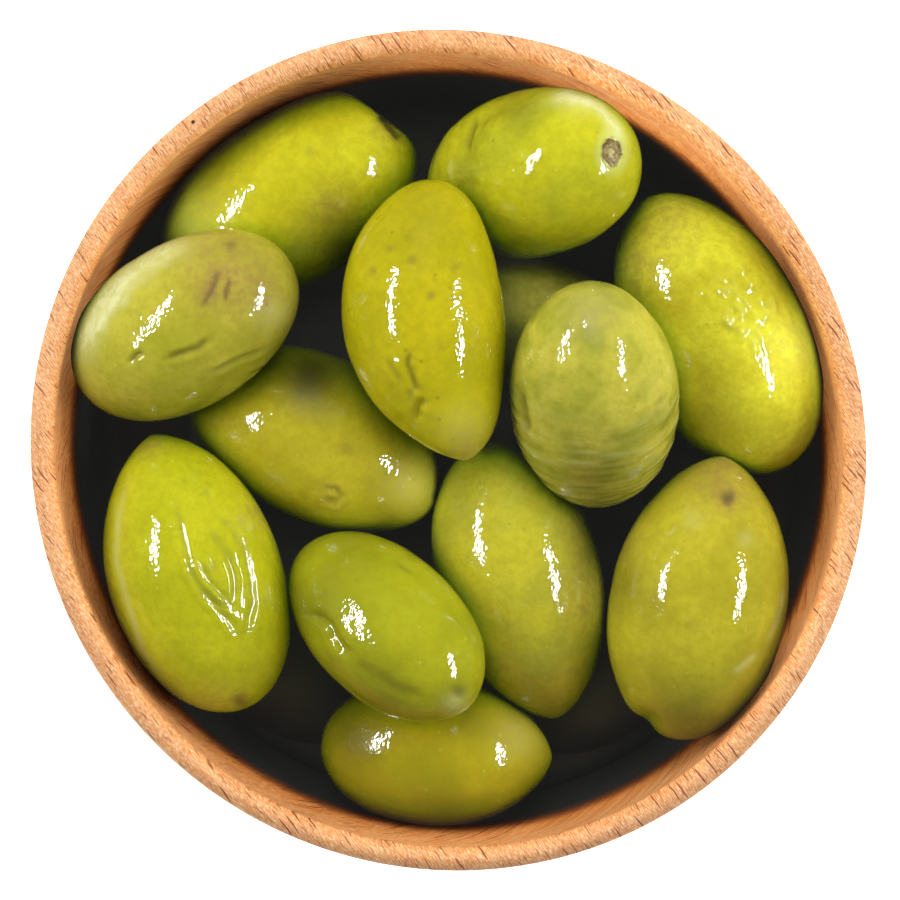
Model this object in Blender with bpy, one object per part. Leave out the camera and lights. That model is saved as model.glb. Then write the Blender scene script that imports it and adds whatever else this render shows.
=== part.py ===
# A turned beech bowl heaped with large green table olives.
# Metres, +Z up. The origin is the middle of the bowl's flat foot.

import math
from collections import namedtuple

import bmesh
import bpy
from mathutils import Matrix, Vector

# Bowl. It was turned round and has dried slightly oval: longer along the grain than across it.
RIM_RADIUS = 0.0510
BOWL_HEIGHT = 0.0480
FOOT_RADIUS = 0.0290
SHOULDER_HEIGHT = 0.0400
RIM_HALF_WIDTH = 0.00145
RIM_ROUNDING = 0.0020
FLOOR_HEIGHT = 0.0070
FLOOR_RADIUS = 0.0240
GRAIN_ANGLE = math.radians(-52.8)
ALONG_GRAIN = 1.0115
ACROSS_GRAIN = 0.9885

RIM_MIDDLE = RIM_RADIUS - RIM_HALF_WIDTH
MOUTH_RADIUS = RIM_RADIUS - 2 * RIM_HALF_WIDTH
RIM_BASE = BOWL_HEIGHT - RIM_ROUNDING

TURNING_SIDES = 80
SIDE_STEPS = 9
RIM_STEPS = 6
MERGE_DISTANCE = 1e-6
CREASE_ANGLE = math.radians(40)

# Heap. The olives lie in brine-dark shadow, so what fills the gaps between them is one core.
WALL_GAP = 0.0004
CORE_EDGE_HEIGHT = 0.0240
CORE_CROWN_HEIGHT = 0.0300
CORE_TOP_STEPS = 4
CORE_SIDE_STEPS = 5
OLIVE_SIDES = 14
OLIVE_RINGS = 11
STEM_BLUNTNESS = 2.2
FACET_ALLOWANCE = 1.012  # flat facets lie on both sides of the round skin, not all inside it

# An olive: the middle of its axis, the turn of its tip from +X seen from above, the lift of its tip,
# its length and width, how pointed the tip is (0.5 is round), and how far its middle bows to the left.
Olive = namedtuple("Olive", "x y z turn lift length width tip bow")

UPPER_OLIVES = (
    Olive(-0.0200, 0.0314, 0.0330, -150, -7, 0.0348, 0.0210, 0.54, 0.0006),
    Olive(-0.0322, 0.0152, 0.0440, 31, 20, 0.0312, 0.0202, 0.52, 0.0000),
    Olive(-0.0004, 0.0158, 0.0482, -81.5, 2, 0.0344, 0.0198, 0.66, -0.0026),
    Olive(0.0103, 0.0338, 0.0410, -168, -46, 0.0316, 0.0204, 0.52, 0.0000),
    Olive(0.0330, 0.0144, 0.0375, 117, 2, 0.0372, 0.0218, 0.53, 0.0000),
    Olive(0.0086, 0.0164, 0.0310, 170, 5, 0.0270, 0.0158, 0.50, 0.0000),
    Olive(0.0177, 0.0069, 0.0468, 94, 40, 0.0314, 0.0206, 0.54, 0.0000),
    Olive(-0.0163, 0.0005, 0.0340, -25, 4, 0.0330, 0.0204, 0.58, 0.0010),
    Olive(-0.0308, -0.0150, 0.0390, 108, 4, 0.0356, 0.0215, 0.66, 0.0004),
    Olive(-0.0076, -0.0215, 0.0424, 138, -22, 0.0292, 0.0182, 0.50, 0.0000),
    Olive(0.0089, -0.0160, 0.0348, -75, -6, 0.0356, 0.0204, 0.66, 0.0000),
    Olive(0.0307, -0.0181, 0.0399, 80, 6, 0.0354, 0.0218, 0.66, 0.0000),
    Olive(-0.0015, -0.0372, 0.0320, -3, 6, 0.0288, 0.0184, 0.62, 0.0000),
)

# The layer underneath shows only in the gaps: a ring of olives laid end to end round one in the middle.
LOWER_OLIVES = (
    Olive(-0.0210, -0.0255, 0.0210, 140, 3, 0.0300, 0.0186, 0.60, 0.0000),
    Olive(0.0200, -0.0265, 0.0220, 37, 4, 0.0300, 0.0186, 0.60, 0.0000),
    Olive(0.0318, -0.0005, 0.0220, 88, 0, 0.0290, 0.0186, 0.60, 0.0000),
    Olive(0.0150, 0.0290, 0.0215, -27, 3, 0.0300, 0.0186, 0.60, 0.0000),
    Olive(-0.0145, 0.0260, 0.0185, 30, 0, 0.0290, 0.0176, 0.60, 0.0000),
    Olive(0.0020, -0.0020, 0.0185, 165, 0, 0.0320, 0.0190, 0.60, 0.0000),
    Olive(-0.0325, 0.0035, 0.0215, 94, 0, 0.0290, 0.0182, 0.60, 0.0000),
)


def clear_scene():
    for obj in list(bpy.data.objects):
        bpy.data.objects.remove(obj, do_unlink=True)


def material(name, colour, roughness, coat=0.0):
    made = bpy.data.materials.new(name)
    made.use_nodes = True
    shader = made.node_tree.nodes["Principled BSDF"]
    shader.inputs["Base Color"].default_value = (*colour, 1.0)
    shader.inputs["Roughness"].default_value = roughness
    shader.inputs["Metallic"].default_value = 0.0
    shader.inputs["Coat Weight"].default_value = coat
    return made


def oval():
    # Stretches what was turned round into the dried bowl's shape.
    turn = Matrix.Rotation(GRAIN_ANGLE, 4, "Z")
    return turn @ Matrix.Diagonal((ALONG_GRAIN, ACROSS_GRAIN, 1.0, 1.0)) @ turn.inverted()


def finish(name, bm, finish_material):
    bmesh.ops.recalc_face_normals(bm, faces=bm.faces)
    mesh = bpy.data.meshes.new(name)
    bm.to_mesh(mesh)
    bm.free()
    mesh.shade_smooth()
    mesh.set_sharp_from_angle(angle=CREASE_ANGLE)
    mesh.materials.append(finish_material)
    obj = bpy.data.objects.new(name, mesh)
    bpy.context.scene.collection.objects.link(obj)
    return obj


def turned(name, profile, finish_material):
    # Spins (radius, height) points, from one point on the axis to another, about the bowl's axis.
    bm = bmesh.new()
    points = [bm.verts.new((radius, 0.0, height)) for radius, height in profile]
    edges = [bm.edges.new(pair) for pair in zip(points, points[1:])]
    bmesh.ops.spin(
        bm,
        geom=points + edges,
        cent=(0.0, 0.0, 0.0),
        axis=(0.0, 0.0, 1.0),
        angle=2 * math.pi,
        steps=TURNING_SIDES,
        use_merge=True,
    )
    bmesh.ops.remove_doubles(bm, verts=bm.verts, dist=MERGE_DISTANCE)
    bmesh.ops.transform(bm, matrix=oval(), verts=bm.verts)
    return finish(name, bm, finish_material)


def outer_side():
    # A quarter of an ellipse, from the foot up to where the side stands straight.
    for step in range(SIDE_STEPS + 1):
        angle = math.pi / 2 * (1 - step / SIDE_STEPS)
        yield (
            FOOT_RADIUS + (RIM_RADIUS - FOOT_RADIUS) * math.cos(angle),
            SHOULDER_HEIGHT * (1 - math.sin(angle)),
        )


def rim():
    for step in range(RIM_STEPS + 1):
        angle = math.pi * step / RIM_STEPS
        yield RIM_MIDDLE + RIM_HALF_WIDTH * math.cos(angle), RIM_BASE + RIM_ROUNDING * math.sin(angle)


def inner_radius(height, gap=0.0):
    # The inside wall is a quarter of an ellipse too, from the rim down to the flat floor.
    if height >= BOWL_HEIGHT:
        return math.inf
    if height >= RIM_BASE:
        rise = (height - RIM_BASE) / RIM_ROUNDING
        return RIM_MIDDLE - RIM_HALF_WIDTH * math.sqrt(1 - rise * rise) - gap
    depth = min((RIM_BASE - height) / (RIM_BASE - FLOOR_HEIGHT - gap), 1.0)
    return FLOOR_RADIUS + (MOUTH_RADIUS - FLOOR_RADIUS) * math.sqrt(1 - depth * depth) - gap


def inner_side(lowest, highest, steps, gap=0.0):
    # Even steps of the ellipse's angle, from the top one down to the floor.
    span = RIM_BASE - FLOOR_HEIGHT - gap
    first = math.asin((RIM_BASE - highest) / span)
    last = math.asin((RIM_BASE - lowest) / span)
    for step in range(steps + 1):
        angle = first + (last - first) * step / steps
        height = RIM_BASE - span * math.sin(angle)
        yield inner_radius(height, gap), height


def make_bowl():
    profile = [(0.0, 0.0)]
    profile += outer_side()
    profile += rim()
    profile += list(inner_side(FLOOR_HEIGHT, RIM_BASE, SIDE_STEPS))[1:]
    profile.append((0.0, FLOOR_HEIGHT))
    beech = material("beech", (0.80, 0.44, 0.21), 0.55)
    return turned("bowl", profile, beech)


def make_core(olive_skin):
    floor = FLOOR_HEIGHT + WALL_GAP
    profile = [(0.0, CORE_CROWN_HEIGHT)]
    edge = inner_radius(CORE_EDGE_HEIGHT, WALL_GAP)
    for step in range(1, CORE_TOP_STEPS):
        share = step / CORE_TOP_STEPS
        drop = (CORE_CROWN_HEIGHT - CORE_EDGE_HEIGHT) * share * share
        profile.append((edge * share, CORE_CROWN_HEIGHT - drop))
    profile += inner_side(floor, CORE_EDGE_HEIGHT, CORE_SIDE_STEPS, WALL_GAP)
    profile.append((0.0, floor))
    return turned("olives", profile, olive_skin)


def off_the_wall(point):
    # Moves a point that would touch the bowl straight in, to the gap that is kept from its inside.
    stretch = oval()
    round_point = stretch.inverted() @ point
    reach = math.hypot(round_point.x, round_point.y)
    limit = inner_radius(round_point.z, WALL_GAP)
    if reach > limit:
        round_point.x *= limit / reach
        round_point.y *= limit / reach
    return stretch @ round_point


def half_width(along, tip):
    # Relative width of an olive, at -1 for its stem end to 1 for its tip.
    if along > 0:
        return (1 - along * along) ** tip
    return math.sqrt(1 - abs(along) ** STEM_BLUNTNESS)


def make_olive(olive, olive_skin):
    turn = Matrix.Rotation(math.radians(olive.turn), 3, "Z")
    axes = turn @ Matrix.Rotation(-math.radians(olive.lift), 3, "Y")
    middle = Vector((olive.x, olive.y, olive.z))
    radius = olive.width / 2 * FACET_ALLOWANCE

    def place(along, across, up):
        shift = olive.bow * (1 - along * along)
        local = Vector((along * olive.length / 2, across * radius + shift, up * radius))
        return off_the_wall(middle + axes @ local)

    bm = bmesh.new()
    stem = bm.verts.new(place(-1.0, 0.0, 0.0))
    point = bm.verts.new(place(1.0, 0.0, 0.0))
    rings = []
    for ring in range(1, OLIVE_RINGS):
        along = -math.cos(math.pi * ring / OLIVE_RINGS)
        reach = half_width(along, olive.tip)
        corners = [2 * math.pi * side / OLIVE_SIDES for side in range(OLIVE_SIDES)]
        rings.append([bm.verts.new(place(along, reach * math.cos(a), reach * math.sin(a))) for a in corners])
    for side in range(OLIVE_SIDES):
        after = (side + 1) % OLIVE_SIDES
        bm.faces.new((stem, rings[0][after], rings[0][side]))
        bm.faces.new((point, rings[-1][side], rings[-1][after]))
        for near, far in zip(rings, rings[1:]):
            bm.faces.new((near[side], near[after], far[after], far[side]))
    return finish("olive", bm, olive_skin)


def body_volume(faces):
    total = 0.0
    for face in faces:
        corners = [loop.vert.co for loop in face.loops]
        for second, third in zip(corners[1:], corners[2:]):
            total += corners[0].dot(second.cross(third)) / 6
    return total


def keep_largest_body(obj):
    # A hollow sealed between the olives is filled, and a loose scrap is dropped.
    bm = bmesh.new()
    bm.from_mesh(obj.data)
    bodies = []
    left = set(bm.faces)
    while left:
        body = set()
        edge_of_search = [left.pop()]
        while edge_of_search:
            face = edge_of_search.pop()
            body.add(face)
            for edge in face.edges:
                for other in edge.link_faces:
                    if other in left:
                        left.remove(other)
                        edge_of_search.append(other)
        bodies.append(body)
    bodies.sort(key=body_volume)
    extra = [face for body in bodies[:-1] for face in body]
    bmesh.ops.delete(bm, geom=extra, context="FACES")
    bm.to_mesh(obj.data)
    bm.free()


def make_olives():
    olive_skin = material("olive_skin", (0.38, 0.37, 0.03), 0.25, coat=0.6)
    heap = make_core(olive_skin)
    pieces = bpy.data.collections.new("pieces")
    bpy.context.scene.collection.children.link(pieces)
    for olive in UPPER_OLIVES + LOWER_OLIVES:
        piece = make_olive(olive, olive_skin)
        bpy.context.scene.collection.objects.unlink(piece)
        pieces.objects.link(piece)
    fuse = heap.modifiers.new("fuse", "BOOLEAN")
    fuse.operation = "UNION"
    fuse.operand_type = "COLLECTION"
    fuse.collection = pieces
    bpy.context.view_layer.objects.active = heap
    bpy.ops.object.modifier_apply(modifier=fuse.name)
    for piece in list(pieces.objects):
        bpy.data.objects.remove(piece, do_unlink=True)
    bpy.data.collections.remove(pieces)
    keep_largest_body(heap)
    return heap


clear_scene()
make_bowl()
make_olives()
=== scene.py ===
import math

import bpy
import numpy as np
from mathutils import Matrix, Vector
from mathutils.bvhtree import BVHTree


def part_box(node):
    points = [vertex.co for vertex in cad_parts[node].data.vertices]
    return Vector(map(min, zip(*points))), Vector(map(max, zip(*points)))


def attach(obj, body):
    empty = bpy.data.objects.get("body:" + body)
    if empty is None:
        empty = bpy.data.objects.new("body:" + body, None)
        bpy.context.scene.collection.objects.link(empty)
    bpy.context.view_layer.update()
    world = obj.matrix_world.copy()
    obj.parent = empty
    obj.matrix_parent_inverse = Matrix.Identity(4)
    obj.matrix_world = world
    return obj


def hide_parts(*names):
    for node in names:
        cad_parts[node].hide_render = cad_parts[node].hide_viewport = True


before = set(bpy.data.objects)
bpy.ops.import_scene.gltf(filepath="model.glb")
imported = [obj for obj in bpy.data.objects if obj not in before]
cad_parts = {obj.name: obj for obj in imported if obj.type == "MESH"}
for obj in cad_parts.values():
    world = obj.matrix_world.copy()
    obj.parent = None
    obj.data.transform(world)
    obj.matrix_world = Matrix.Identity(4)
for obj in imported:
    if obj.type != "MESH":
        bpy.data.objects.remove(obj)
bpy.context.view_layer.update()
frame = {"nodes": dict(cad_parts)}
mm = 0.001
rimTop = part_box("bowl")[1].z
print("frame loaded:", ", ".join(frame["nodes"]))


# Small helpers for node trees

# keeps colours readable as 0-255 picks
def srgb(red, green, blue):
    def linear(value):
        value /= 255
        return value / 12.92 if value <= 0.04045 else ((value + 0.055) / 1.055) ** 2.4
    return (linear(red), linear(green), linear(blue), 1.0)


# each input gets a link or a value of its own
def feed(tree, node, feeds):
    for socket, source in feeds.items():
        if isinstance(source, bpy.types.NodeSocket):
            tree.links.new(source, node.inputs[socket])
        else:
            node.inputs[socket].default_value = source


def addNode(tree, kind, feeds=None, **settings):
    made = tree.nodes.new(kind)
    for name, value in settings.items():
        setattr(made, name, value)
    feed(tree, made, feeds or {})
    return made


def newMaterial(name):
    material = bpy.data.materials.new(name)
    material.use_nodes = True
    return material, material.node_tree, material.node_tree.nodes["Principled BSDF"]


def maths(tree, operation, first, second=0.0, clamp=False):
    feeds = {0: first, 1: second}
    return addNode(tree, "ShaderNodeMath", feeds, operation=operation, use_clamp=clamp).outputs[0]


def times(tree, first, second):
    return maths(tree, "MULTIPLY", first, second)


def vectors(tree, operation, first, second=(0, 0, 0)):
    return addNode(tree, "ShaderNodeVectorMath", {0: first, 1: second}, operation=operation).outputs


def ramp(tree, value, low, high, toLow=0.0, toHigh=1.0):
    feeds = {"Value": value, "From Min": low, "From Max": high, "To Min": toLow, "To Max": toHigh}
    return addNode(tree, "ShaderNodeMapRange", feeds, interpolation_type="SMOOTHSTEP").outputs[0]


def mixColour(tree, factor, first, second, blend="MIX"):
    feeds = {0: factor, 6: first, 7: second}
    return addNode(tree, "ShaderNodeMix", feeds, data_type="RGBA", blend_type=blend).outputs[2]


def tinted(tree, colour, tint):
    return mixColour(tree, 1.0, colour, tint, "MULTIPLY")


def noise(tree, coords, scale, detail=2.0, roughness=0.5):
    feeds = {"Vector": coords, "Scale": scale, "Detail": detail, "Roughness": roughness}
    return addNode(tree, "ShaderNodeTexNoise", feeds).outputs[0]


# object coordinates in millimetres, turned about the upright axis
def millimetres(tree, turn=0.0):
    place = addNode(tree, "ShaderNodeTexCoord").outputs["Object"]
    scaled = addNode(tree, "ShaderNodeMapping", {"Vector": place, "Scale": (1000, 1000, 1000)}).outputs[0]
    if not turn:
        return scaled
    return addNode(tree, "ShaderNodeMapping", {"Vector": scaled, "Rotation": (0, 0, turn)}).outputs[0]


def onPlan(tree):
    return vectors(tree, "MULTIPLY", millimetres(tree), (1, 1, 0))[0]


# a group of plain numbers in and out; only an input named Offset is a vector
def newGroup(name, inputs, outputs):
    group = bpy.data.node_groups.new(name, "ShaderNodeTree")
    for direction, sockets in (("INPUT", inputs), ("OUTPUT", outputs)):
        for socket in sockets:
            kind = "NodeSocketVector" if socket == "Offset" else "NodeSocketFloat"
            group.interface.new_socket(socket, in_out=direction, socket_type=kind)
    return group, group.nodes.new("NodeGroupInput").outputs, group.nodes.new("NodeGroupOutput").inputs


def useGroup(tree, group, values):
    return addNode(tree, "ShaderNodeGroup", values, node_tree=group).outputs


# Effects that more than one material uses

# painted shade: light that fades down into the heap, where neighbours shut it out
def makeHeapShade():
    group, given, out = newGroup("heapShade", ["Dark", "Full", "Least"], ["Light"])
    height = addNode(group, "ShaderNodeSeparateXYZ", {0: millimetres(group)}).outputs[2]
    light = ramp(group, height, given["Dark"], given["Full"], given["Least"], 1.0)
    group.links.new(light, out["Light"])
    return group


# slow blotches, small pale pores, brown specks and a faint cloudiness in the flesh
def makeSkinMottle():
    outputs = ["Blotch", "Pores", "Specks", "Cloud"]
    group, given, out = newGroup("skinMottle", ["Offset", "Blotch Size"], outputs)
    place = vectors(group, "ADD", millimetres(group), given["Offset"])[0]
    blotch = noise(group, place, maths(group, "DIVIDE", 1.0, given["Blotch Size"]), 2.0, 0.55)
    group.links.new(ramp(group, blotch, 0.36, 0.66), out["Blotch"])
    cells = addNode(group, "ShaderNodeTexVoronoi", {"Vector": place, "Scale": 0.55}, feature="F1")
    chosen = addNode(group, "ShaderNodeSeparateColor", {0: cells.outputs["Color"]}).outputs[0]
    dots = ramp(group, cells.outputs["Distance"], 0.19, 0.06)
    group.links.new(times(group, dots, ramp(group, chosen, 0.45, 0.30)), out["Pores"])
    group.links.new(times(group, dots, ramp(group, chosen, 0.50, 0.75)), out["Specks"])
    cloud = noise(group, place, 0.9, 2.0, 0.65)
    group.links.new(ramp(group, cloud, 0.3, 0.72), out["Cloud"])
    return group


# the fine leathery skin that breaks each highlight into a ragged streak; height in millimetres
def makeSkinRelief():
    group, given, out = newGroup("skinRelief", ["Offset", "Fine", "Ripple"], ["Height"])
    place = vectors(group, "ADD", millimetres(group), given["Offset"])[0]
    fine = times(group, noise(group, place, 2.6, 0.0), given["Fine"])
    ripple = times(group, noise(group, place, 1.05, 1.0), given["Ripple"])
    group.links.new(maths(group, "ADD", fine, ripple), out["Height"])
    return group


heapShade = makeHeapShade()
skinMottle = makeSkinMottle()
skinRelief = makeSkinRelief()
print("shader groups built")


# Mesh helpers

def newPiece(name, points, faces, material, marksAndShading=None):
    mesh = bpy.data.meshes.new(name)
    mesh.from_pydata(points.tolist(), [], faces)
    mesh.materials.append(material)
    mesh.shade_smooth()
    if marksAndShading is not None:
        layer = mesh.attributes.new("marksAndShading", "FLOAT_COLOR", "POINT")
        layer.data.foreach_set("color", np.ascontiguousarray(marksAndShading, np.float32).ravel())
    piece = bpy.data.objects.new(name, mesh)
    bpy.context.scene.collection.objects.link(piece)
    return piece


# quads between rings of points that follow one another
def ringFaces(rings, sides, first):
    faces = []
    for ring in range(rings - 1):
        low = first + ring * sides
        for side in range(sides):
            after = (side + 1) % sides
            faces.append((low + side, low + after, low + sides + after, low + sides + side))
    return faces


# rings closed at both ends by a fan of triangles around the points numbered low and high
def closedRings(rings, sides, low, high):
    faces = ringFaces(rings, sides, 0)
    last = (rings - 1) * sides
    for side in range(sides):
        after = (side + 1) % sides
        faces.append((low, after, side))
        faces.append((high, last + side, last + after))
    return faces


def smooth(value, low, high):
    amount = np.clip((value - low) / (high - low), 0, 1)
    return amount * amount * (3 - 2 * amount)


# soft noise from -1 to 1 at points in millimetres
def lumps(points, size, seed):
    table = np.random.default_rng(seed).uniform(-1, 1, (12, 12, 12))
    place = points / size + 50.37
    cell = np.floor(place).astype(int)
    part = place - cell
    part = part * part * (3 - 2 * part)
    total = np.zeros(len(points))
    for corner in np.ndindex(2, 2, 2):
        index = (cell + corner) % 12
        weight = np.prod(np.where(np.array(corner) == 1, part, 1 - part), axis=1)
        total += weight * table[index[:, 0], index[:, 1], index[:, 2]]
    return total


# distance of each point from a path on the plan, and how far along the path its nearest point is, 0 to 1
def alongPath(flat, path):
    path = np.array(path, float)
    lengths = np.linalg.norm(np.diff(path, axis=0), axis=1)
    before = np.concatenate([[0], np.cumsum(lengths)])
    nearest = np.full(len(flat), 1e9)
    along = np.zeros(len(flat))
    for start, end, length, reached in zip(path[:-1], path[1:], lengths, before):
        step = np.clip((flat - start) @ (end - start) / length**2, 0, 1)
        gap = np.linalg.norm(flat - start - step[:, None] * (end - start), axis=1)
        closer = gap < nearest
        nearest[closer] = gap[closer]
        along[closer] = (reached + step[closer] * length) / before[-1]
    return nearest, along


# Bowl: turned beech, a little oval, in the form of the frame's own bowl

bowl = {
    "rimRadius": 51.0, "height": 48.0, "footRadius": 29.0, "shoulder": 40.0,
    "rimHalfWidth": 1.45, "rimRounding": 2.0, "floorHeight": 7.0, "floorRadius": 24.0,
    "grainAngle": math.radians(-52.8), "alongGrain": 1.0115, "acrossGrain": 0.9885,
    "sides": 640, "sideSteps": 46, "rimSteps": 22,
    "turningMarks": 0.03,                      # mm, the lathe's faint rings
    "light": srgb(228, 170, 112), "dark": srgb(212, 148, 91), "vessel": srgb(132, 64, 36),
    "pale": srgb(250, 216, 176), "warm": srgb(204, 118, 62),
    "bounced": srgb(182, 174, 136),            # the light it passes on to the olives is paler than the wood
    # painted light and shade on the inner wall: lifted near the rim, warmed lower down, deepened lower
    # still
    "upperTint": (1.14, 1.04, 0.94, 1), "wallTint": (1.10, 0.78, 0.42, 1),
    "deepTint": (0.70, 0.36, 0.14, 1),
    # painted light: a glow on the rim where the olives shut light out, then on the wall by direction
    "rimGlow": 0.6, "wallGlows": [(56, 22, 1.1), (4, 16, 0.32), (93, 12, 0.4), (155, 18, 0.4),
                                  (187, 12, 0.25), (270, 14, 0.2), (335, 12, 0.4)],
    "pin": (-31.0, 39.8), "pinRadius": 0.2,
    "shadeFrom": 28.8, "shadeTo": 37.0,        # mm, painted shade: the inner wall fades to dark between these heights
    "hairs": [((45.3, -18.8), (44.6, -21.0), (44.1, -23.6)), ((47.6, 15.0), (47.9, 13.8), (47.5, 12.9)),
              ((12.5, -47.6), (13.4, -47.0), (14.6, -47.3)), ((44.9, -19.6), (45.6, -20.5), (45.5, -21.6))],
    "hairRadius": 0.045,
}
gapShadeBlack = srgb(38, 39, 37)                    # painted shade: near-black colour of the gaps between and below the olives
gapPaintedGlow = srgb(22, 22, 21)                     # painted light: a faint glow that the darkest gaps give out


def ovalTurn():
    spin = bowl["grainAngle"]
    turn = np.array(((math.cos(spin), -math.sin(spin)), (math.sin(spin), math.cos(spin))))
    return turn @ np.diag((bowl["alongGrain"], bowl["acrossGrain"])) @ turn.T


# radius of the bowl's inner side at these heights, before the oval; mm
def wallRadius(height, gap=0.0):
    middle = bowl["rimRadius"] - bowl["rimHalfWidth"]
    mouth = bowl["rimRadius"] - 2 * bowl["rimHalfWidth"]
    rimBase = bowl["height"] - bowl["rimRounding"]
    rise = np.clip((height - rimBase) / bowl["rimRounding"], 0, 1)
    aboveBase = middle - bowl["rimHalfWidth"] * np.sqrt(1 - rise**2)
    depth = np.clip((rimBase - height) / (rimBase - bowl["floorHeight"] - gap), 0, 1)
    belowBase = bowl["floorRadius"] + (mouth - bowl["floorRadius"]) * np.sqrt(1 - depth**2)
    radius = np.where(height > rimBase, aboveBase, belowBase) - gap
    return np.where(height > bowl["height"], 1000.0, radius)


# radius, height and inner (1) or outer (0) side of each point from the foot over the rim to the floor
def bowlProfile():
    steps = bowl["sideSteps"]
    outer = np.linspace(0, math.pi / 2, steps)
    span = bowl["rimRadius"] - bowl["footRadius"]
    points = [(bowl["footRadius"] + span * math.cos(t), bowl["shoulder"] * (1 - math.sin(t)), 0)
              for t in outer[::-1]]
    rimBase = bowl["height"] - bowl["rimRounding"]
    middle = bowl["rimRadius"] - bowl["rimHalfWidth"]
    points += [(bowl["rimRadius"], z, 0) for z in np.linspace(bowl["shoulder"], rimBase, 7)[1:]]
    for t in np.linspace(0, math.pi, bowl["rimSteps"])[1:]:
        height = rimBase + bowl["rimRounding"] * math.sin(t)
        points.append((middle + bowl["rimHalfWidth"] * math.cos(t), height, 0))
    for t in np.linspace(0, math.pi / 2, steps)[1:]:
        height = rimBase - (rimBase - bowl["floorHeight"]) * math.sin(t)
        points.append((float(wallRadius(np.array(height))), height, 1))
    return np.array(points)


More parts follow.
